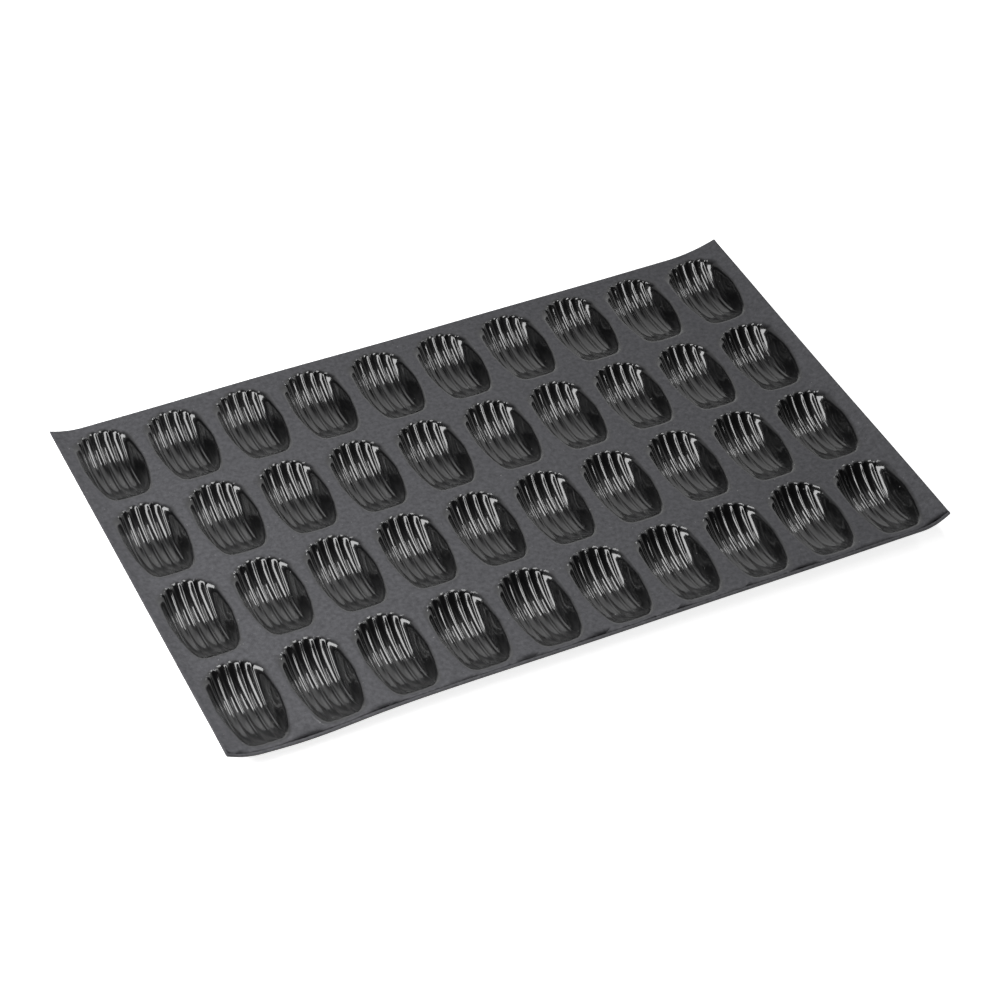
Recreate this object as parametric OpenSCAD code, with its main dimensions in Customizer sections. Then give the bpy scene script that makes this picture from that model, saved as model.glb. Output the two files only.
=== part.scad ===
// Flexible baking sheet with forty shell-shaped cake wells.
// The sheet is a laminate of three bonded layers that all follow every well: a smooth
// silicone skin on the food side, a woven glass cloth, and a silicone skin underneath.
// The skin underneath is drawn as a middle length and two end lengths, one under the
// first column of wells and one under the last, which meet it edge to edge.
//
// Frame: X along the long side, +Y towards the scalloped ends of the wells, +Z up.
// The origin is on the floor under the middle of the sheet, so the wells rest on z = 0.

/* [Wells] */
// Number of wells along the long side
columns = 10; // [3:1:10]
// Number of wells along the short side
rows = 4; // [1:1:4]
// Distance between well centres along the long side
column_pitch = 57.4; // [55.5:0.1:70]
// Distance between well centres along the short side
row_pitch = 90.6; // [88:0.1:110]
// Length of a well at the deck
well_length = 80.4; // [76:0.2:83]
// Greatest width of a well at the deck
well_width = 47; // [45:0.2:49]
// Depth of a well below the food side of the deck
well_depth = 19; // [17:0.2:21]
// Distance from the well's centre to its two middle flutes
middle_flute_x = 3.95; // [3.7:0.05:4.2]
// Distance from the well's centre to its second flutes
second_flute_x = 11.6; // [11.2:0.05:11.9]
// Distance from the well's centre to its short outer flutes
outer_flute_x = 17.9; // [17.6:0.05:18.4]
// Radius of the middle flutes' round floors
middle_flute_r = 4.8; // [4.6:0.05:5]
// Radius of the second flutes' round floors
second_flute_r = 4.5; // [4.4:0.05:4.8]
// Radius of the outer flutes' round floors
outer_flute_r = 4.3; // [4.2:0.05:4.5]
// How much shorter the second flutes are than the middle ones, at each end
second_flute_setback = 3.2; // [2.6:0.1:3.8]
// How much shorter the outer flutes are than the middle ones, at the scalloped end
outer_flute_setback = 9.6; // [9:0.1:10.4]
// How far ahead of the deepest point the outer flutes begin
outer_flute_start = 1; // [0:0.5:4]
// Slant of the outer flutes' start across the well
outer_flute_slant = 50; // [40:1:58]
// Half of the angle that the outer flutes' round floors span
outer_flute_span = 84; // [80:1:90]
// Flat strips that make up a flute's round floor
flute_facets = 3; // [2:1:5]

/* [Sheet] */
// Flat margin beyond the last wells at the two short ends
end_margin = 10.7; // [6:0.1:30]
// Flat margin at the long edge on the scalloped side
scallop_margin = 9.1; // [4:0.1:30]
// Flat margin at the long edge on the narrow side
narrow_margin = 7; // [4:0.1:30]
// Thickness of the silicone skin on the food side
food_skin_t = 0.3; // [0.25:0.05:0.5]
// Thickness of the woven glass cloth
cloth_t = 0.4; // [0.3:0.05:0.6]
// Thickness of the silicone skin underneath
under_skin_t = 0.3; // [0.25:0.05:0.5]

/* [Hidden] */
$fn = 72;

sheet_t = food_skin_t + cloth_t + under_skin_t;

last_column = columns - 1;                        // the first one, at -X, is 0
sheet_l = last_column * column_pitch + well_width + 2 * end_margin;
sheet_w = (rows - 1) * row_pitch + well_length + scallop_margin + narrow_margin;
// The wells sit off the middle of the sheet, because the two long margins differ.
wells_y = (narrow_margin - scallop_margin) / 2;

// Every flute floor is an arc about one axis, which runs across the well above it.
half_length = well_length / 2;
axis_h = (half_length * half_length - well_depth * well_depth) / (2 * well_depth);
function arc_r(reach) = norm([axis_h, reach]);    // arc that meets the deck at this reach
// [distance from the axis, distance across the well] of each flute's round centre
middle_c = [arc_r(half_length) - middle_flute_r, middle_flute_x];
second_c = [arc_r(half_length - second_flute_setback) - second_flute_r, second_flute_x];
outer_c = [arc_r(half_length - outer_flute_setback) - outer_flute_r, outer_flute_x];

// The arc runs a few degrees past the deck at both ends, so the deck cuts it cleanly.
past_deck = 4;
sweep = acos(axis_h / arc_r(half_length)) + past_deck;

// The flank is the straight line from the rim that touches the second flute's round.
flank_head = 6;                                   // rise of the flank above the deck
rim = [axis_h, well_width / 2];
to_second = second_c - rim;
flank_angle = atan(-to_second[1] / to_second[0]) - asin(second_flute_r / norm(to_second));
head = rim + flank_head * [-1, tan(flank_angle)];

// The ridge between two flutes is where their rounds cross.
gap = second_c - middle_c;
along = (norm(gap) ^ 2 + middle_flute_r ^ 2 - second_flute_r ^ 2) / (2 * norm(gap));
away = sqrt(middle_flute_r ^ 2 - along ^ 2);
ridge = middle_c + (gap * along + [gap[1], -gap[0]] * away) / norm(gap);

function bearing(c, p) = atan2(p[1] - c[1], p[0] - c[0]);
// Points round a flute's floor from one bearing to another
function round_floor(c, r, from, to) = [
    for (i = [0 : flute_facets])
        let (t = from + (to - from) * i / flute_facets) c + r * [cos(t), sin(t)]
];
function tail(points) = [for (i = [1 : len(points) - 1]) points[i]];
function flipped(points) = [for (i = [len(points) - 1 : -1 : 0]) [points[i][0], -points[i][1]]];
// Half of the section across a well, from the ridge on the centre line to the flank's head
half_section = concat(
    round_floor(middle_c, middle_flute_r,
        -asin(middle_flute_x / middle_flute_r), bearing(middle_c, ridge)),
    tail(round_floor(second_c, second_flute_r,
        bearing(second_c, ridge), 90 - flank_angle)),
    [head]
);
well_section = concat(flipped(half_section), tail(half_section));
outer_section = round_floor(outer_c, outer_flute_r, -outer_flute_span, outer_flute_span);

// Moves a line of points outwards by g, square to each of its segments
function normal(a, b) = [b[1] - a[1], a[0] - b[0]] / norm(b - a);
function grown(points, g) = let (last = len(points) - 1) [
    for (i = [0 : last])
        let (
            before = normal(points[max(i - 1, 0)], points[max(i, 1)]),
            after = normal(points[min(i, last - 1)], points[min(i + 1, last)])
        ) points[i] + g * (before + after) / (1 + before * after)
];

// Food side of the deck: the lowest point of the sheet's underside rests on z = 0.
deck_z = max([for (p = grown(well_section, sheet_t)) p[0]]) - axis_h;

// Turns a section (x away from the axis, y across the well) about the well's axis.
module swing(from, to)
    rotate([90, 0, 90]) rotate([0, 0, from - 90])
        rotate_extrude(angle = to - from) children();

// One well as a solid form, grown outwards by g, with the deck plane at z = 0
module well_form(g)
    translate([0, 0, axis_h]) {
        swing(-sweep, sweep) polygon(grown(well_section, g));
        for (side = [0, 1]) mirror([side, 0, 0]) intersection() {
            swing(0, sweep)
                polygon(concat(grown(outer_section, g), [outer_c - [outer_flute_r, 0]]));
            // Slanted start, so that the flute widens out of the flank
            translate([second_flute_x, outer_flute_start, -2 * axis_h])
                rotate([0, 0, outer_flute_slant])
                    translate([-axis_h, -g, 0]) cube([3 * axis_h, 2 * axis_h, 3 * axis_h]);
        }
    }

// All wells from one column to another
module wells(g, from, to)
    for (i = [from : to], j = [0 : rows - 1])
        translate([
            (i - last_column / 2) * column_pitch,
            wells_y + (j - (rows - 1) / 2) * row_pitch,
            deck_z
        ]) well_form(g);

// X of the line ahead of a column: the sheet's own edge, or halfway between two columns
function line_x(i) =
    i == 0 ? -sheet_l / 2 : i == columns ? sheet_l / 2 : (i - columns / 2) * column_pitch;

// One layer of the laminate, between two depths below the food side, from one column of
// wells to another
module layer(top, bottom, from = 0, to = last_column)
    difference() {
        union() {
            translate([line_x(from), -sheet_w / 2, deck_z - bottom])
                cube([line_x(to + 1) - line_x(from), sheet_w, bottom + axis_h]);
            wells(bottom, from, to);
        }
        translate([-sheet_l, -sheet_w, deck_z - top])
            cube([2 * sheet_l, 2 * sheet_w, 2 * axis_h]);
        wells(top, from, to);
    }

module food_side_skin()
    color("#3a3c3e") layer(0, food_skin_t);

module glass_cloth_core()
    color("#8a8478") layer(food_skin_t, food_skin_t + cloth_t);

module underside_middle()
    color("#303234") layer(food_skin_t + cloth_t, sheet_t, 1, last_column - 1);

module underside_ends()
    color("#303234") for (end = [0, last_column])
        layer(food_skin_t + cloth_t, sheet_t, end, end);

food_side_skin();
glass_cloth_core();
underside_middle();
underside_ends();
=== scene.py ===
# %% [markdown]
# A flexible baking sheet of black silicone and woven glass cloth, pressed into forty
# shell-shaped cake wells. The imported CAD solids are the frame: they give the size and
# the place, and this script gives the looks. The real sheet is three bonded layers, so
# three pieces are made here. The CAD has four nodes, because its underside is split in
# two to help the collision pieces.

# %% Load the frame
import math
import bmesh
import bpy
from bmesh.types import BMEdge, BMFace, BMVert
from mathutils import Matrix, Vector


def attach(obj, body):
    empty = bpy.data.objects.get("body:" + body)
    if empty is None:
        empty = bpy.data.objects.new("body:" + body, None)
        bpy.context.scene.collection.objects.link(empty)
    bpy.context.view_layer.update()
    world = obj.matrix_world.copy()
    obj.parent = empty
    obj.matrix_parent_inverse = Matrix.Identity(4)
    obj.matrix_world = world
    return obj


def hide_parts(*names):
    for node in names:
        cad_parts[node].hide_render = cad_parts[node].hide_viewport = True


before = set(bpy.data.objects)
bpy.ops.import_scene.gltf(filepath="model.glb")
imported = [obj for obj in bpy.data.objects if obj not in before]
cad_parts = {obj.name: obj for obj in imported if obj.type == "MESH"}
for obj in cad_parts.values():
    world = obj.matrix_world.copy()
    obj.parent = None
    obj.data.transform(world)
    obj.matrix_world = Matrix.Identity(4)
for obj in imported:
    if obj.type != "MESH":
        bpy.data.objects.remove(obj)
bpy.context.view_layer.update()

# %% [markdown]
# All sizes of the sheet are in millimetres, as a mould maker writes them, and are turned
# into metres only when a mesh is finished. The driving ones repeat the values of the CAD
# source, and the outline of the sheet is worked out from them.

# %% Sizes of the sheet
MM = 0.001
COLUMNS = 10
ROWS = 4
COLUMN_PITCH = 57.4
ROW_PITCH = 90.6
WELL_WIDTH = 47
WELL_LENGTH = 80.4
END_MARGIN = 10.7
SCALLOP_MARGIN = 9.1
NARROW_MARGIN = 7
DECK_Z = 19.9524
FOOD_SKIN = 0.3
CLOTH = 0.4
UNDER_SKIN = 0.3
# half of the sheet's length and width, and the middle of the wells across it
SHEET_X = ((COLUMNS - 1) * COLUMN_PITCH + WELL_WIDTH) / 2 + END_MARGIN
SHEET_Y = ((ROWS - 1) * ROW_PITCH + WELL_LENGTH + SCALLOP_MARGIN + NARROW_MARGIN) / 2
WELLS_Y = (NARROW_MARGIN - SCALLOP_MARGIN) / 2
print("sheet", round(2 * SHEET_X, 2), "x", round(2 * SHEET_Y, 2), "mm")

# %% [markdown]
# A shell well is a set of round flutes that run side by side along it. Every floor
# follows an arc about one axis, which runs across the well above the deck. The cross
# section changes on the way: six deep flutes at the scalloped end, of which the outer
# two fade into the flank, and hardly any relief at the tip of the narrow end. Such a
# form could be sculpted, or cut out with Booleans. Four half sections and a blend from
# one to the next were chosen, because they need few numbers and keep the mesh in rows.
# Each entry is the distance across the well and the distance from the arc's axis, in
# the order ridge, floor, ridge, floor, ridge, floor, ridge, top of the flank.

# %% Half sections of a well
ARC_AXIS = 33.03
FLANK_HEAD = (22.5, 34.83)
SCALLOPED_END = [(0, 49.9), (4.2, 52.0), (8.3, 48.9), (12.0, 49.8),
                 (15.2, 46.4), (18.0, 45.2), (20.4, 41.3), FLANK_HEAD]
MIDDLE = [(0, 50.3), (4.1, 52.0), (8.1, 50.0), (11.6, 50.6),
          (14.6, 48.1), (16.6, 46.9), (18.9, 43.0), FLANK_HEAD]
NARROW_END = [(0, 50.8), (4.0, 52.0), (8.0, 50.9), (11.3, 51.2),
              (14.2, 49.4), (15.9, 48.2), (17.9, 45.0), FLANK_HEAD]
NARROW_TIP = [(0, 51.7), (4.0, 51.9), (8.0, 51.6), (11.2, 51.4),
              (13.8, 50.0), (15.4, 48.8), (17.0, 46.4), FLANK_HEAD]
# angles along the arc at which the two ends and the narrow tip are reached
END_ANGLE = math.radians(38)
TIP_ANGLE = math.radians(49)


def ease(t):
    """Goes smoothly from 0 to 1 as t does."""
    t = min(max(t, 0.0), 1.0)
    return t * t * (3 - 2 * t)


def blend(first, second, share):
    """A section that is a share of the way from the first to the second."""
    return [(a[0] + (b[0] - a[0]) * share, a[1] + (b[1] - a[1]) * share)
            for a, b in zip(first, second)]


def section_at(angle):
    """Half section of the well at an angle along its arc: plus is the scalloped end."""
    if angle > 0:
        return blend(MIDDLE, SCALLOPED_END, ease(angle / END_ANGLE))
    towards_end = blend(MIDDLE, NARROW_END, ease(-angle / END_ANGLE))
    tip = ease((-angle - END_ANGLE) / (TIP_ANGLE - END_ANGLE))
    return blend(towards_end, NARROW_TIP, tip)


print("depth of the middle flutes", round(MIDDLE[1][1] - ARC_AXIS, 2), "mm")

# %% [markdown]
# Across the well the mesh has a fixed number of steps for each flute, closer together
# at the ridges, where the form turns most. Between two ridges the distance across is a
# quadratic curve through the floor. The depth adds a bowl to the straight line between
# the ridges: a power of 2 would make a parabola, and 3 gives a flatter floor between
# crisper ridges, as a pressed flute has.

# %% Points across a well
FLUTES = 3
FLUTE_STEPS = [0.1, 0.27, 0.73, 0.9, 1.0]
FLANK_STEPS = [0.2, 0.6, 1.0]
BOWL_POWER = 3
# steps of the mesh across half a well, and along a whole one
HALF = FLUTES * len(FLUTE_STEPS) + len(FLANK_STEPS)
ALONG = 16


def point_across(section, step):
    """Distance across and distance from the axis at a step: -1 is the middle ridge."""
    if step < 0:
        return section[0]
    flute, place = divmod(step, len(FLUTE_STEPS))
    if flute == FLUTES:
        t = FLANK_STEPS[place]
        a, b = section[-2:]
        return a[0] + (b[0] - a[0]) * t, a[1] + (b[1] - a[1]) * t
    t = FLUTE_STEPS[place]
    a, floor, b = section[2 * flute:2 * flute + 3]
    bend = 2 * floor[0] - (a[0] + b[0]) / 2
    across = (1 - t) ** 2 * a[0] + 2 * t * (1 - t) * bend + t * t * b[0]
    fall = floor[1] - (a[1] + b[1]) / 2
    bowl = 1 - abs(2 * t - 1) ** BOWL_POWER
    return across, a[1] + (b[1] - a[1]) * t + fall * bowl


print("steps across a half well", HALF, "and along it", ALONG)

# %% [markdown]
# Where a well meets the deck, the pressed laminate turns over in a soft lip. A bevel
# could round it, but a bevel has one width all the way round. The real lip is softest
# at the two shoulders, where the last scallop fades out, and wider where the wall below
# it is less steep, at the two ends. So its depth and width are two small formulas.

# %% The lip of a well
# depths of the lip: at the narrow end, at the scalloped end, and what a shoulder adds
NARROW_LIP = 1.7
SCALLOP_LIP = 1.5
SHOULDER_LIP = 1.4
# width of the lip for each millimetre of its depth: at the two ends and at the flanks
END_SPREAD = 2.5
FLANK_SPREAD = 1.7
# places on the rim, counted in steps from the middle of the well
SHOULDER_STEP = 14.5
SHOULDER_REACH = 3.5
FLANK_BEGINS = 11
FLANK_REACH = 5


def lip_depth(step, along):
    """How far below the deck the lip begins."""
    if along > 0:
        near_shoulder = 1 - ((abs(step) - SHOULDER_STEP) / SHOULDER_REACH) ** 2
        return SCALLOP_LIP + SHOULDER_LIP * max(near_shoulder, 0)
    return NARROW_LIP


def lip_width(step, along):
    """How far the lip reaches outwards."""
    flank = ease((abs(step) - FLANK_BEGINS) / FLANK_REACH)
    spread = END_SPREAD + (FLANK_SPREAD - END_SPREAD) * flank
    return lip_depth(step, along) * spread


print("lip", NARROW_LIP, "mm deep,", round(lip_width(0, -1), 2), "mm wide at the narrow end")

# %% [markdown]
# One well with its share of the deck is modelled as a tile. A flat grid gets one row of
# vertices for each step across, and every vertex is moved onto the section at its place
# along the arc. Each vertex also notes, in layers of the mesh, where the later steps
# need it to go: its place on the rim, on the tile's edge, and the lip's depth and width.

# %% The inside of a well
# step whose rim vertex is joined to the corner of the tile
CORNER = 11
# half axes of the ellipse that the rim roughly follows, which says where outwards is
RIM_ELLIPSE = (23.5, 41.0)
ANGLE_ROUNDS = 6


def well_point(step, along):
    """Place of a grid vertex inside the well, with the deck at z = 0."""
    side = -1 if step < 0 else 1
    k = abs(step) - 1
    lip_axis = ARC_AXIS + lip_depth(step, along)
    angle = 0.0
    # the section depends on the angle and the angle on the section: some rounds settle both
    for _ in range(ANGLE_ROUNDS):
        across, radius = point_across(section_at(angle), k)
        angle = along * math.acos(min(lip_axis / radius, 1.0))
    across, radius = point_across(section_at(angle), k)
    return Vector((side * across, radius * math.sin(angle),
                   ARC_AXIS - radius * math.cos(angle)))


def tile_edge(step, along):
    """Point on the tile's edge that a rim vertex is joined to."""
    side = -1 if step < 0 else 1
    end = 1 if along > 0 else -1
    k = abs(step)
    if k <= CORNER:
        return Vector((side * COLUMN_PITCH / 2 * k / CORNER, end * ROW_PITCH / 2, 0))
    up = (HALF - k) / (HALF - CORNER)
    return Vector((side * COLUMN_PITCH / 2, end * ROW_PITCH / 2 * up, 0))


def make_well():
    """The inside of one well as an open grid."""
    bm = bmesh.new()
    bmesh.ops.create_grid(bm, x_segments=2 * HALF, y_segments=ALONG, size=1.0)
    away, rim, edge = [bm.verts.layers.float_vector.new(n) for n in ("away", "rim", "edge")]
    well, lip, width = [bm.verts.layers.float.new(n) for n in ("well", "lip", "width")]
    for vert in bm.verts:
        step = round(vert.co.x * HALF)
        along = round(vert.co.y * ALONG / 2) / (ALONG / 2)
        vert.co = well_point(step, along)
        vert[rim] = vert.co
        vert[edge] = tile_edge(step, along)
        vert[lip] = lip_depth(step, along)
        vert[width] = lip_width(step, along)
        vert[well] = 1.0
        out = Vector((vert.co.x / RIM_ELLIPSE[0] ** 2, vert.co.y / RIM_ELLIPSE[1] ** 2, 0))
        vert[away] = out.normalized()
    bmesh.ops.remove_doubles(bm, verts=bm.verts, dist=0.001)
    return bm


inside = make_well()
print("inside of a well", len(inside.faces), "faces")

# %% [markdown]
# The open edge of that grid is extruded outwards in rings, first round the soft lip and
# then out to the edges of the tile. Opposite edges of the tile match, so copies of it
# join into one sheet without a seam. Cutting the wells out of one big plane would give
# the same form, but with long thin faces between them that shade badly.

# %% One well as a tile
# each ring: share of the lip's width, share of its depth, and how much it is still well
LIP_RINGS = [(0.25, 0.52, 1.0), (0.58, 0.15, 0.7), (1.0, 0.0, 0.15), (1.3, 0.0, 0.0)]


def only(kind, geometry):
    """The vertices, edges or faces among the results of an operator."""
    return [g for g in geometry if isinstance(g, kind)]


def grow(bm, loop):
    """Extrudes a loop of open edges in place: gives the new edges and vertices."""
    grown = bmesh.ops.extrude_edge_only(bm, edges=loop)["geom"]
    return only(BMEdge, grown), only(BMVert, grown)


def add_deck(bm):
    """Adds the lip and the tile's share of the deck round a well."""
    away, rim, edge = [bm.verts.layers.float_vector[n] for n in ("away", "rim", "edge")]
    well, lip, width = [bm.verts.layers.float[n] for n in ("well", "lip", "width")]
    loop = [e for e in bm.edges if e.is_boundary]
    for outwards, depth, still_well in LIP_RINGS:
        loop, verts = grow(bm, loop)
        for vert in verts:
            place = vert[rim] + vert[away] * outwards * vert[width]
            vert.co = Vector((place.x, place.y, -depth * vert[lip]))
            vert[well] = still_well
    loop, verts = grow(bm, loop)
    for vert in verts:
        vert.co = vert[edge]
        vert[well] = 0.0
    bmesh.ops.recalc_face_normals(bm, faces=bm.faces)
    if sum(f.normal.z for f in bm.faces) < 0:
        bmesh.ops.reverse_faces(bm, faces=bm.faces)
    return bm


tile = add_deck(inside)
print("tile", len(tile.faces), "faces, depth", round(min(v.co.z for v in tile.verts), 2), "mm")

# %% [markdown]
# The forty tiles are copies of the first. They are laid out at the pitches of the mould
# and welded where they meet. An Array modifier could do that too. Copies in the bmesh
# were chosen, because the whole sheet is bent afterwards, each well by its own amount.

# %% The wells laid out
# vertices closer than this, in millimetres, count as one place
WELD = 0.01


def lay_out_wells():
    """All tiles joined into one open sheet."""
    bm = tile.copy()
    first = list(bm.verts) + list(bm.edges) + list(bm.faces)
    for row in range(ROWS):
        for column in range(COLUMNS):
            shift = Vector(((column - (COLUMNS - 1) / 2) * COLUMN_PITCH,
                            WELLS_Y + (row - (ROWS - 1) / 2) * ROW_PITCH, 0))
            copy = bmesh.ops.duplicate(bm, geom=first)["geom"]
            bmesh.ops.translate(bm, verts=only(BMVert, copy), vec=shift)
    bmesh.ops.delete(bm, geom=first, context="VERTS")
    bmesh.ops.remove_doubles(bm, verts=bm.verts, dist=WELD)
    return bm


sheet = lay_out_wells()
print("tiles joined,", len(sheet.faces), "faces")

# %% [markdown]
# The open edge that is left is extruded to the cut edge of the sheet, first along the
# two short sides and then along the two long ones. The cut pressed the brink down a
# little and left a faint rise just inside it, which catches the light.

# %% The border
# distance in from the cut edge and height of each line of vertices near it
BORDER = [(2.6, 0.0), (1.2, 0.1), (0.0, -0.25)]


def extend_to_edge(bm, axis, reach):
    """Extrudes the open edges that face along one axis out to the cut edge."""
    for sign in (-1, 1):
        limit = max(sign * v.co[axis] for v in bm.verts)
        loop = [e for e in bm.edges if e.is_boundary
                and all(abs(sign * v.co[axis] - limit) < WELD for v in e.verts)]
        for inset, height in BORDER:
            loop, verts = grow(bm, loop)
            for vert in verts:
                vert.co[axis] = sign * (reach - inset)
                vert.co.z = height


extend_to_edge(sheet, 0, SHEET_X)
extend_to_edge(sheet, 1, SHEET_Y)
print("flat food side has", len(sheet.faces), "faces")

# %% [markdown]
# The real sheet is limp. Its two short ends curl up, the long front edge droops near
# one corner, and nothing on it is quite level. A cloth simulation could find that lie,
# but not this one in particular. Bending the flat sheet by one smooth function of the
# place follows the photograph and keeps all three layers together.

# %% How the sheet lies
# x at which a short end begins to curl, and its rise at the cut, in front and at the back
RIGHT_CURL = {"begin": (270, 248), "rise": (9.2, 8.4)}
LEFT_CURL = {"begin": (266, 266), "rise": (7.6, 5.6)}
# fall of the front edge, its place and reach along the edge, and how far ahead of the
# sheet's middle line it begins
DROOP = 4.2
DROOP_X = -232
DROOP_REACH = 48
DROOP_BEGIN = 150
# height of the waves, millimetres for each radian of the broad waves and of the ripples
# along the two sides, and height of the ripples against the broad waves
WAVE_HEIGHT = 0.35
BROAD_WAVES = (61, 47)
RIPPLES = (31, 58)
RIPPLE_SHARE = 0.6


def curl(out, back, begin, rise):
    """Rise of one short end at a distance out from the middle of the sheet."""
    start = begin[0] + (begin[1] - begin[0]) * back
    height = rise[0] + (rise[1] - rise[0]) * back
    return height * (max(out - start, 0) / (SHEET_X - start)) ** 2


def front_droop(x, y):
    """Fall of the front edge near its left corner."""
    towards_edge = ease((-y - DROOP_BEGIN) / (SHEET_Y - DROOP_BEGIN))
    return -DROOP * math.exp(-((x - DROOP_X) / DROOP_REACH) ** 2) * towards_edge ** 2


def waviness(x, y):
    """Slow waves, out of step with the wells, that never go below the flat sheet."""
    wave = math.sin(x / BROAD_WAVES[0] + 0.6) * math.sin(y / BROAD_WAVES[1] + 1.1)
    wave += RIPPLE_SHARE * math.sin(x / RIPPLES[0] - y / RIPPLES[1] + 2.0)
    return WAVE_HEIGHT * (wave + 1 + RIPPLE_SHARE)


def lie_of_sheet(x, y):
    """Height of the bent sheet above the flat one."""
    back = (y + SHEET_Y) / (2 * SHEET_Y)
    ends = curl(x, back, **RIGHT_CURL) + curl(-x, back, **LEFT_CURL)
    return ends + front_droop(x, y) + waviness(x, y)


print("rise at the back right corner", round(lie_of_sheet(SHEET_X, SHEET_Y), 1), "mm")

# %% [markdown]
# A few wells are pushed in a little on their right side, as thin moulded sheets are
# after some use. Each dent is a smooth bump, so the flutes bend with it.

# %% Dents
# column, row and depth of each dented well, counted from the front left
DENTED_WELLS = [(8, 0, 2.2), (8, 3, 1.6), (7, 3, 1.8), (6, 2, 1.5), (8, 2, 1.4), (2, 1, 0.8)]
# middle of a dent from the middle of its well, and its reach across and along
DENT_X = 8
DENT_Y = -4
DENT_WIDTH = 7
DENT_LENGTH = 20


def dents(x, y):
    """How far the wall of a well is pushed in."""
    total = 0.0
    for column, row, depth in DENTED_WELLS:
        dx = x - (column - (COLUMNS - 1) / 2) * COLUMN_PITCH - DENT_X
        dy = y - WELLS_Y - (row - (ROWS - 1) / 2) * ROW_PITCH - DENT_Y
        total += depth * math.exp(-(dx / DENT_WIDTH) ** 2 - (dy / DENT_LENGTH) ** 2)
    return total


print("dented wells", len(DENTED_WELLS))

# %% [markdown]
# Each layer of the laminate is a thin closed shell. It starts as two copies of the bent
# food side, one at the layer's top and one at its bottom, and its cut edge is closed by
# bridging the two open loops. A Solidify modifier would do nearly the same, but it
# offsets along the normals, and the layers would then not share their faces exactly, as
# bonded layers do.

# %% A layer between two depths
# height below which a vertex of the flat sheet is inside a well
WELL_BEGINS = -1
# greatest upward part of a normal on the upright wall of the cut edge
EDGE_WALL = 0.05


def bend(bm, depth):
    """Lays the flat sheet as the real one lies, at a depth below the food side."""
    for vert in bm.verts:
        x, y = vert.co.x, vert.co.y
        dent = dents(x, y) if vert.co.z < WELL_BEGINS else 0
        vert.co.z += lie_of_sheet(x, y) + dent - depth


def thicken(bm, drop):
    """Closes the open sheet into a shell with a copy of it lower down."""
    upper = list(bm.verts) + list(bm.edges) + list(bm.faces)
    rims = [e for e in bm.edges if e.is_boundary]
    lower = bmesh.ops.duplicate(bm, geom=upper)["geom"]
    rims += [e for e in only(BMEdge, lower) if e.is_boundary]
    bmesh.ops.translate(bm, verts=only(BMVert, lower), vec=(0, 0, drop))
    bmesh.ops.reverse_faces(bm, faces=only(BMFace, lower))
    bmesh.ops.bridge_loops(bm, edges=rims)


def drop_notes(bm):
    """Removes the layers that only the modelling needed; well stays for the finish."""
    for name in ("away", "rim", "edge"):
        bm.verts.layers.float_vector.remove(bm.verts.layers.float_vector[name])
    for name in ("lip", "width"):
        bm.verts.layers.float.remove(bm.verts.layers.float[name])


def make_layer(name, top, bottom):
    """One layer of the laminate, between two depths below the food side."""
    bm = sheet.copy()
    bend(bm, top)
    thicken(bm, top - bottom)
    bmesh.ops.translate(bm, verts=bm.verts, vec=(0, 0, DECK_Z))
    bmesh.ops.scale(bm, verts=bm.verts, vec=(MM, MM, MM))
    drop_notes(bm)
    bmesh.ops.recalc_face_normals(bm, faces=bm.faces)
    # upright quads, such as the wall of the cut edge, stay flat: all else is smooth
    for face in bm.faces:
        face.smooth = abs(face.normal.z) > EDGE_WALL or len(face.verts) < 4
    mesh = bpy.data.meshes.new(name)
    bm.to_mesh(mesh)
    open_edges = sum(1 for e in bm.edges if not e.is_manifold)
    bm.free()
    piece = bpy.data.objects.new(name, mesh)
    bpy.context.scene.collection.objects.link(piece)
    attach(piece, "sheet")
    print(name, len(mesh.polygons), "faces,", open_edges, "open edges")
    return piece


# %% [markdown]
# Each layer stands in for its CAD solids, which are hidden. The underside is one piece on
# the real sheet, so it takes the place of both CAD nodes below.

# %% The three layers
food_side = make_layer("food_side", 0, FOOD_SKIN)
cloth_core = make_layer("cloth_core", FOOD_SKIN, FOOD_SKIN + CLOTH)
underside = make_layer("underside", FOOD_SKIN + CLOTH, FOOD_SKIN + CLOTH + UNDER_SKIN)
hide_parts("food_side_skin")
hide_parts("glass_cloth_core")
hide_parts("underside_middle", "underside_ends")
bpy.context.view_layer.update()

# %% [markdown]
# A finish is a tree of nodes, as the shader editor shows it. Written out in code, each
# node takes three or four lines, and much of that repeats. These helpers add a node,
# wire it and give back the output that comes next. A value that is handed to them can
# be a constant or the output of another node.

# %% Helpers for node trees
def put(tree, value, socket):
    """Links an output to a socket, or sets a constant on it."""
    if isinstance(value, bpy.types.NodeSocket):
        tree.links.new(value, socket)
    else:
        socket.default_value = value


def calculate(tree, operation, *values):
    """One step of arithmetic on one, two or three values."""
    node = tree.nodes.new("ShaderNodeMath")
    node.operation = operation
    for value, socket in zip(values, node.inputs):
        put(tree, value, socket)
    return node.outputs[0]


def mix_values(tree, share, first, second):
    """Goes from the first value to the second as the share goes from 0 to 1."""
    node = tree.nodes.new("ShaderNodeMix")
    put(tree, share, node.inputs[0])
    put(tree, first, node.inputs[2])
    put(tree, second, node.inputs[3])
    return node.outputs[0]


def mix_colours(tree, share, first, second, blend_type="MIX"):
    """The same for colours, whose sockets come later in the Mix node."""
    node = tree.nodes.new("ShaderNodeMix")
    node.data_type = "RGBA"
    node.blend_type = blend_type
    put(tree, share, node.inputs[0])
    put(tree, first, node.inputs[6])
    put(tree, second, node.inputs[7])
    return node.outputs[2]


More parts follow.
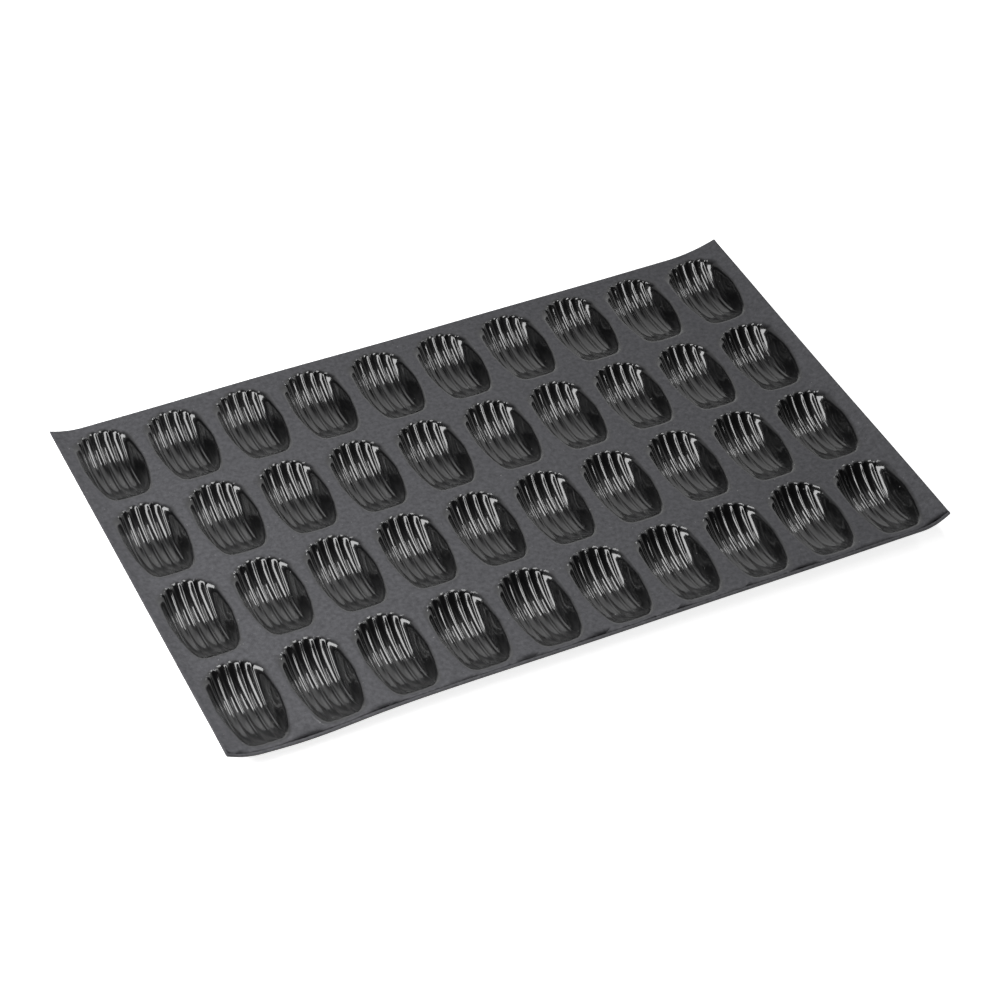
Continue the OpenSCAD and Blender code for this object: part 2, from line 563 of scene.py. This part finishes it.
def map_range(tree, value, before, after, interpolation="LINEAR"):
    """Stretches a value from one pair of limits to another."""
    node = tree.nodes.new("ShaderNodeMapRange")
    node.interpolation_type = interpolation
    put(tree, value, node.inputs["Value"])
    node.inputs["From Min"].default_value = before[0]
    node.inputs["From Max"].default_value = before[1]
    node.inputs["To Min"].default_value = after[0]
    node.inputs["To Max"].default_value = after[1]
    return node.outputs["Result"]


def noise(tree, scale, detail, roughness=0.5):
    """A cloudy pattern that is fixed to the object."""
    coords = tree.nodes.new("ShaderNodeTexCoord")
    node = tree.nodes.new("ShaderNodeTexNoise")
    node.inputs["Scale"].default_value = scale
    node.inputs["Detail"].default_value = detail
    node.inputs["Roughness"].default_value = roughness
    tree.links.new(coords.outputs["Object"], node.inputs["Vector"])
    return node.outputs["Fac"]


def add_bump(tree, shader, height, strength, distance):
    """Tilts the shading by a height, without moving the mesh."""
    node = tree.nodes.new("ShaderNodeBump")
    node.inputs["Strength"].default_value = strength
    node.inputs["Distance"].default_value = distance
    tree.links.new(height, node.inputs["Height"])
    tree.links.new(node.outputs["Normal"], shader.inputs["Normal"])


def new_material(name):
    """A new material, its node tree and its shader."""
    material = bpy.data.materials.new(name)
    material.use_nodes = True
    tree = material.node_tree
    return material, tree, tree.nodes["Principled BSDF"]


print("helpers ready")

# %% [markdown]
# The plain weave of the glass cloth shows faintly through the thin silicone. One node
# group makes it from two crossing wave patterns, so that all three finishes can use it
# at their own strength. A band of the wave texture is 0.314 m wide at a scale of 1, so a
# scale of 260 gives a yarn every 1.2 mm. The group also gives a few specks, such as
# dust and flour leave on silicone.

# %% Weave group
YARN_SCALE = 260
SPECK_SCALE = 420


def make_weave_group():
    """Gives the height of the weave and a mask of specks."""
    tree = bpy.data.node_groups.new("plain_weave", "ShaderNodeTree")
    tree.interface.new_socket("Scale", in_out="INPUT", socket_type="NodeSocketFloat")
    tree.interface.new_socket("Height", in_out="OUTPUT", socket_type="NodeSocketFloat")
    tree.interface.new_socket("Specks", in_out="OUTPUT", socket_type="NodeSocketFloat")
    inputs = tree.nodes.new("NodeGroupInput")
    outputs = tree.nodes.new("NodeGroupOutput")
    coords = tree.nodes.new("ShaderNodeTexCoord")
    yarns = []
    for direction in ("X", "Y"):
        wave = tree.nodes.new("ShaderNodeTexWave")
        wave.wave_type = "BANDS"
        wave.bands_direction = direction
        wave.wave_profile = "SIN"
        wave.inputs["Distortion"].default_value = 0.6
        wave.inputs["Detail"].default_value = 1.0
        tree.links.new(coords.outputs["Object"], wave.inputs["Vector"])
        tree.links.new(inputs.outputs["Scale"], wave.inputs["Scale"])
        yarns.append(wave.outputs["Fac"])
    tree.links.new(calculate(tree, "MULTIPLY", *yarns), outputs.inputs["Height"])
    # only the highest peaks of this noise become specks
    specks = map_range(tree, noise(tree, SPECK_SCALE, 2), (0.73, 0.8), (0, 1))
    tree.links.new(specks, outputs.inputs["Specks"])
    return tree


weave_group = make_weave_group()


def add_weave(tree):
    """Puts the weave group into a finish."""
    node = tree.nodes.new("ShaderNodeGroup")
    node.node_tree = weave_group
    node.inputs["Scale"].default_value = YARN_SCALE
    return node


print("weave group has", len(weave_group.nodes), "nodes")

# %% [markdown]
# The food side is one silicone with two finishes. Inside the wells it was pressed
# against a polished tool, so a clear coat lies over a near-black ground there. On the
# deck it keeps a semi-matt charcoal face, faintly mottled, with a few pale specks and
# the weave just showing. Two materials would leave a hard line between them. The mesh
# carries an attribute called well instead, from 1 in the wells to 0 on the deck, and
# one material mixes the two by it.

# %% Food-side silicone
DECK_GROUND = (0.082, 0.082, 0.088, 1)
WELL_GROUND = (0.003, 0.003, 0.0033, 1)
SPECK = (0.30, 0.30, 0.30, 1)


def make_food_silicone():
    """Semi-matt charcoal on the deck and glossy black in the wells."""
    material, tree, shader = new_material("food_silicone")
    attribute = tree.nodes.new("ShaderNodeAttribute")
    attribute.attribute_name = "well"
    well = attribute.outputs["Fac"]
    weave = add_weave(tree)
    mottle = noise(tree, scale=300, detail=4, roughness=0.65)
    cloud = noise(tree, scale=18, detail=3)

    # the noise lies mostly between 0.3 and 0.7, and makes the ground up to 26% darker
    # or lighter
    ground = mix_colours(tree, well, DECK_GROUND, WELL_GROUND)
    patches = map_range(tree, mottle, (0.3, 0.7), (0.74, 1.26))
    mottled = mix_colours(tree, 1.0, ground, patches, "MULTIPLY")
    specks = calculate(tree, "MULTIPLY", weave.outputs["Specks"], 0.6)
    put(tree, mix_colours(tree, specks, mottled, SPECK), shader.inputs["Base Color"])

    deck_roughness = map_range(tree, cloud, (0, 1), (0.5, 0.62))
    put(tree, mix_values(tree, well, deck_roughness, 0.3), shader.inputs["Roughness"])
    put(tree, mix_values(tree, well, 0.05, 0.2), shader.inputs["Specular IOR Level"])
    put(tree, well, shader.inputs["Coat Weight"])
    put(tree, 0.07, shader.inputs["Coat Roughness"])
    put(tree, 1.5, shader.inputs["Coat IOR"])

    relief = calculate(tree, "MULTIPLY_ADD", mottle, 1.5, weave.outputs["Height"])
    add_bump(tree, shader, relief, strength=0.2, distance=0.0002)
    return material


food_side.data.materials.append(make_food_silicone())
print("food side finished")

# %% [markdown]
# The cloth and the underside are matt, and both their colour and their height follow
# the weave: the hollows between the yarns are painted a little darker than their tops, as shade.
# The cloth is seen only as a line in the cut edge, soaked dark with silicone. The
# underside was never pressed against a polished tool, so the weave shows most there.

# %% Cloth and underside
def make_woven(name, roughness, shaded_hollow, yarn, strength):
    """A matt weave: a painted shade for its hollows, a colour for its yarns, and the bump's
    strength.
    """
    material, tree, shader = new_material(name)
    height = add_weave(tree).outputs["Height"]
    put(tree, roughness, shader.inputs["Roughness"])
    # painted shade: the hollows of the weave get the darker colour, the tops of the yarns the
    # lighter one
    put(tree, mix_colours(tree, height, shaded_hollow, yarn), shader.inputs["Base Color"])
    add_bump(tree, shader, height, strength, distance=0.0003)
    return material


glass_cloth = make_woven("glass_cloth", 0.6, (0.035, 0.034, 0.032, 1),
                         (0.075, 0.072, 0.066, 1), 0.4)
under_silicone = make_woven("underside_silicone", 0.5, (0.022, 0.022, 0.024, 1),
                            (0.034, 0.034, 0.036, 1), 0.5)
cloth_core.data.materials.append(glass_cloth)
underside.data.materials.append(under_silicone)
print("cloth and underside finished")

# %% [markdown]
# The floor is a plain white plane that takes the object's shadow. More lamps could make
# it look white, but they would wash out the sheet, so an emission lifts it instead. Only
# camera, glossy and transmission rays see that emission: the glossy wells mirror it, and
# it lights nothing else.

# %% Floor
FLOOR_REACH = 6.0
FLOOR_GLOW = 0.82


def any_ray(tree, *kinds):
    """1 for a ray of any of these kinds, and 0 for the others."""
    rays = tree.nodes.new("ShaderNodeLightPath")
    share = rays.outputs[kinds[0]]
    for kind in kinds[1:]:
        share = calculate(tree, "MAXIMUM", share, rays.outputs[kind])
    return share


def make_floor():
    """A white plane under the sheet."""
    bm = bmesh.new()
    bmesh.ops.create_grid(bm, x_segments=1, y_segments=1, size=FLOOR_REACH)
    mesh = bpy.data.meshes.new("floor")
    bm.to_mesh(mesh)
    bm.free()
    floor = bpy.data.objects.new("floor", mesh)
    bpy.context.scene.collection.objects.link(floor)
    material, tree, shader = new_material("white_floor")
    shader.inputs["Base Color"].default_value = (0.85, 0.85, 0.85, 1)
    shader.inputs["Roughness"].default_value = 0.9
    shader.inputs["Specular IOR Level"].default_value = 0.0
    shader.inputs["Emission Color"].default_value = (1, 1, 1, 1)
    seen = any_ray(tree, "Is Camera Ray", "Is Glossy Ray", "Is Transmission Ray")
    put(tree, map_range(tree, seen, (0, 1), (0, FLOOR_GLOW)), shader.inputs["Emission Strength"])
    mesh.materials.append(material)
    return floor


print("floor", [round(size, 2) for size in make_floor().dimensions], "m")

# %% [markdown]
# Four lamps light the sheet. A strip overhead gives the bright patches halfway along
# the wells, a softbox at the left the streaks in their scalloped half, a small one at
# the right the line on the far shoulder, and a large dim one behind softens the rest.
# Area lamps were chosen because glossy flutes mirror the shape of the lamp: points or
# a sun would leave dots in place of streaks.

# %% Lamps
# name, place, width, height and power in watts
LAMPS = [
    ("overhead_strip", (0.12, 0.02, 0.85), 0.42, 0.22, 2.8),
    ("left_softbox", (-0.6, -0.14, 0.6), 0.8, 0.32, 7.6),
    ("right_softbox", (0.78, 0.16, 0.75), 0.16, 0.16, 0.6),
    ("back_softbox", (-0.4, 0.85, 0.75), 0.9, 0.5, 0.7),
]


def add_softbox(name, place, width, height, power):
    """A rectangular lamp that faces the middle of the sheet."""
    light = bpy.data.lights.new(name, "AREA")
    light.shape = "RECTANGLE"
    light.size = width
    light.size_y = height
    light.energy = power
    lamp = bpy.data.objects.new(name, light)
    lamp.location = place
    lamp.rotation_euler = (-Vector(place)).to_track_quat("-Z", "Y").to_euler()
    bpy.context.scene.collection.objects.link(lamp)


for lamp_values in LAMPS:
    add_softbox(*lamp_values)
print("lamps", len(LAMPS), "with", round(sum(values[-1] for values in LAMPS), 1), "W in all")

# %% [markdown]
# The world is white to the camera and dim to the rays that carry light. Mirrored rays
# find it bright only on the far side, as if a white backdrop stood behind the sheet, and
# dark on the camera's side. That gives the wells their dark flanks, which a world that
# is white all round would fill with grey.

# %% World
# direction of the middle of the bright part, strength for the rays that carry light, and
# strength of the dark part for mirrored rays
BACKDROP = (0.60, 0.77, 0.20)
FILL = 0.03
DARK_SIDE = 0.02


def light_world():
    """One strength for each kind of ray, on a plain white background."""
    world = bpy.data.worlds.new("studio")
    bpy.context.scene.world = world
    world.use_nodes = True
    tree = world.node_tree
    background = tree.nodes["Background"]
    background.inputs["Color"].default_value = (1, 1, 1, 1)
    coords = tree.nodes.new("ShaderNodeTexCoord")
    towards = tree.nodes.new("ShaderNodeVectorMath")
    towards.operation = "DOT_PRODUCT"
    towards.inputs[1].default_value = BACKDROP
    tree.links.new(coords.outputs["Generated"], towards.inputs[0])
    backdrop = map_range(tree, towards.outputs["Value"], (0.3, 0.7), (DARK_SIDE, 1.0),
                         interpolation="SMOOTHSTEP")
    mirrored = any_ray(tree, "Is Glossy Ray", "Is Transmission Ray")
    light = mix_values(tree, mirrored, FILL, backdrop)
    level = calculate(tree, "MAXIMUM", any_ray(tree, "Is Camera Ray"), light)
    put(tree, level, background.inputs["Strength"])
    return world


bpy.context.scene.view_settings.view_transform = "Standard"
print("world", light_world().name)

# %% [markdown]
# The camera was worked out from the grid of wells in the photograph: a long lens, a
# little over two metres away, from the front left and above.

# %% Camera
LENS = 101.32
SENSOR = 36
CAMERA_PLACE = (-0.71686, -1.41306, 1.47388)
CAMERA_TURN = (47.025, -1.434, -25.734)

camera_data = bpy.data.cameras.new("photo_view")
camera_data.lens = LENS
camera_data.sensor_width = SENSOR
camera = bpy.data.objects.new("photo_view", camera_data)
camera.location = CAMERA_PLACE
camera.rotation_euler = [math.radians(turn) for turn in CAMERA_TURN]
bpy.context.scene.collection.objects.link(camera)
bpy.context.scene.camera = camera
print("camera distance", round((camera.location - Vector((0, 0, 0.02))).length, 3), "m")
